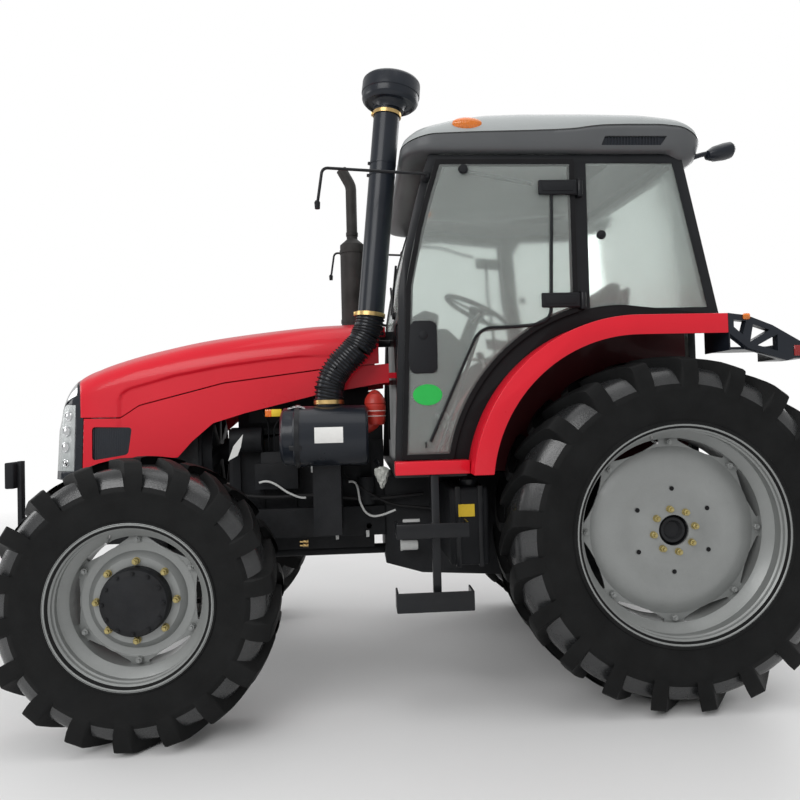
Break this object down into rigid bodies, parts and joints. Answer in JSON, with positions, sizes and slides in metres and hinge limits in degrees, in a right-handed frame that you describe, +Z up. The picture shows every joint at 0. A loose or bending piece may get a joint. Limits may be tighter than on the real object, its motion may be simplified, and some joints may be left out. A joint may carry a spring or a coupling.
{
  "type": "farm tractor",
  "caption": "Farm tractor with a red hood, a closed glazed cab, large lugged tyres, side air intake, exhaust stack and rear three-point hitch.",
  "frame": {"origin": "on the ground, under the middle of the tractor's length and width", "axes": "+X forward, +Y to the tractor's left, +Z up"},
  "size_m": [4.3288, 2.135, 3.171],
  "materials": {
    "red_paint": "gloss",
    "red_panel": "gloss",
    "roof_grey": "satin",
    "black_steel": "satin",
    "cast_black": "matte",
    "black_plastic": "matte",
    "rim_silver": "satin",
    "tyre": "matte",
    "glass": "clear",
    "lamp_glass": "clear",
    "red_silicone": "satin",
    "exhaust_steel": "matte",
    "bare_steel": "satin",
    "seat_fabric": "woven"
  },
  "bodies": {
    "chassis": {"air_cleaner": "black_plastic", "air_intake": "black_plastic", "battery_box": "black_steel", "cab_floor": "black_steel", "cab_frame": "black_steel", "cab_front_wall": "black_steel", "cab_rear_wall": "black_steel", "cab_roof": "roof_grey", "cab_steps": "black_steel", "dash_console": "black_plastic", "drawbar": "black_steel", "drive_shaft": "cast_black", "engine": "cast_black", "exhaust": "exhaust_steel", "fenders": "red_paint", "front_frame": "cast_black", "front_glass": "glass", "fuel_tank": "black_plastic", "gearbox": "cast_black", "hood_side_panels": "red_panel", "intake_elbow": "red_silicone", "lift_housing": "cast_black", "marker_plates": "black_plastic", "mirror_rods": "black_steel", "quarter_glass": "glass", "radiator": "black_steel", "rear_axle_housing": "cast_black", "rear_glass": "glass", "rear_lamp_pods": "black_plastic", "seat": "seat_fabric", "seat_base": "black_steel", "side_grilles": "black_plastic", "sills": "red_paint", "weight_carrier": "cast_black", "work_lamps": "black_plastic"},
    "hood": {"hood": "red_panel", "grille": "black_plastic", "headlamps": "lamp_glass"},
    "door_left": {"door_left": "black_steel", "door_glass_left": "glass"},
    "door_right": {"door_right": "black_steel", "door_glass_right": "glass"},
    "front_axle": {"front_axle_beam": "cast_black"},
    "knuckle_left": {"knuckle_left": "cast_black"},
    "knuckle_right": {"knuckle_right": "cast_black"},
    "tie_rod": {"tie_rod": "bare_steel"},
    "wheel_front_left": {"tyre_front_left": "tyre", "rim_front_left": "rim_silver"},
    "wheel_front_right": {"tyre_front_right": "tyre", "rim_front_right": "rim_silver"},
    "wheel_rear_left": {"tyre_rear_left": "tyre", "rim_rear_left": "rim_silver"},
    "wheel_rear_right": {"tyre_rear_right": "tyre", "rim_rear_right": "rim_silver"},
    "steering_wheel": {"steering_wheel": "black_plastic"},
    "lift_arms": {"lift_arms": "black_steel"},
    "lower_links": {"lower_links": "black_steel"},
    "lift_rods": {"lift_rods": "bare_steel"},
    "top_link": {"top_link": "bare_steel"},
    "pto_shaft": {"pto_shaft": "bare_steel"}
  },
  "joints": [
    {"name": "front_axle_rock", "type": "hinge", "parent": "chassis", "child": "front_axle", "pos_m": [1.378, 0, 0.62], "axis": [1, 0, 0], "range_deg": [-8, 8]},
    {"name": "steer_left", "type": "hinge", "parent": "front_axle", "child": "knuckle_left", "pos_m": [1.378, 0.74, 0.62], "axis": [0, 0, 1], "range_deg": [-40, 40]},
    {"name": "steer_right", "type": "hinge", "parent": "front_axle", "child": "knuckle_right", "pos_m": [1.378, -0.74, 0.62], "axis": [0, 0, 1], "range_deg": [-40, 40]},
    {"name": "tie_rod_swing", "type": "hinge", "parent": "knuckle_left", "child": "tie_rod", "pos_m": [1.168, 0.74, 0.62], "axis": [0, 0, 1], "range_deg": [-40, 40]},
    {"name": "wheel_front_left_spin", "type": "hinge", "parent": "knuckle_left", "child": "wheel_front_left", "pos_m": [1.378, 0.895, 0.62], "axis": [0, 1, 0], "continuous": true},
    {"name": "wheel_front_right_spin", "type": "hinge", "parent": "knuckle_right", "child": "wheel_front_right", "pos_m": [1.378, -0.895, 0.62], "axis": [0, 1, 0], "continuous": true},
    {"name": "wheel_rear_left_spin", "type": "hinge", "parent": "chassis", "child": "wheel_rear_left", "pos_m": [-1.065, 0.78, 0.82], "axis": [0, 1, 0], "continuous": true},
    {"name": "wheel_rear_right_spin", "type": "hinge", "parent": "chassis", "child": "wheel_rear_right", "pos_m": [-1.065, -0.78, 0.82], "axis": [0, 1, 0], "continuous": true},
    {"name": "steering_wheel_turn", "type": "hinge", "parent": "chassis", "child": "steering_wheel", "pos_m": [-0.315, 0, 2.006], "axis": [-0.4226, 0, 0.9063], "range_deg": [-360, 360]},
    {"name": "door_left_swing", "type": "hinge", "parent": "chassis", "child": "door_left", "pos_m": [-0.693, 0.785, 2.2], "axis": [0, 0, 1], "range_deg": [0, 70]},
    {"name": "door_right_swing", "type": "hinge", "parent": "chassis", "child": "door_right", "pos_m": [-0.693, -0.785, 2.2], "axis": [0, 0, -1], "range_deg": [0, 70]},
    {"name": "hood_tilt", "type": "hinge", "parent": "chassis", "child": "hood", "pos_m": [0.255, 0, 1.85], "axis": [0, -1, 0], "range_deg": [0, 50]},
    {"name": "lift_arms_raise", "type": "hinge", "parent": "chassis", "child": "lift_arms", "pos_m": [-1.465, 0, 1.025], "axis": [0, 1, 0], "range_deg": [-10, 35]},
    {"name": "lower_links_raise", "type": "hinge", "parent": "chassis", "child": "lower_links", "pos_m": [-1.295, 0, 0.5], "axis": [0, 1, 0], "range_deg": [-10, 35]},
    {"name": "lift_rods_swing", "type": "hinge", "parent": "lift_arms", "child": "lift_rods", "pos_m": [-1.76386, 0, 0.99885], "axis": [0, 1, 0], "range_deg": [-35, 35]},
    {"name": "top_link_swing", "type": "hinge", "parent": "chassis", "child": "top_link", "pos_m": [-1.435, 0, 0.86], "axis": [0, 1, 0], "range_deg": [-20, 45]},
    {"name": "pto_spin", "type": "hinge", "parent": "chassis", "child": "pto_shaft", "pos_m": [-1.445, 0, 0.66], "axis": [1, 0, 0], "continuous": true}
  ],
  "couplings": [
    {"joint": "steer_right", "follows": "steer_left", "ratio": 1},
    {"joint": "tie_rod_swing", "follows": "steer_left", "ratio": -1},
    {"joint": "steering_wheel_turn", "follows": "steer_left", "ratio": 9},
    {"joint": "lower_links_raise", "follows": "lift_arms_raise", "ratio": 1},
    {"joint": "lift_rods_swing", "follows": "lift_arms_raise", "ratio": -1}
  ]
}
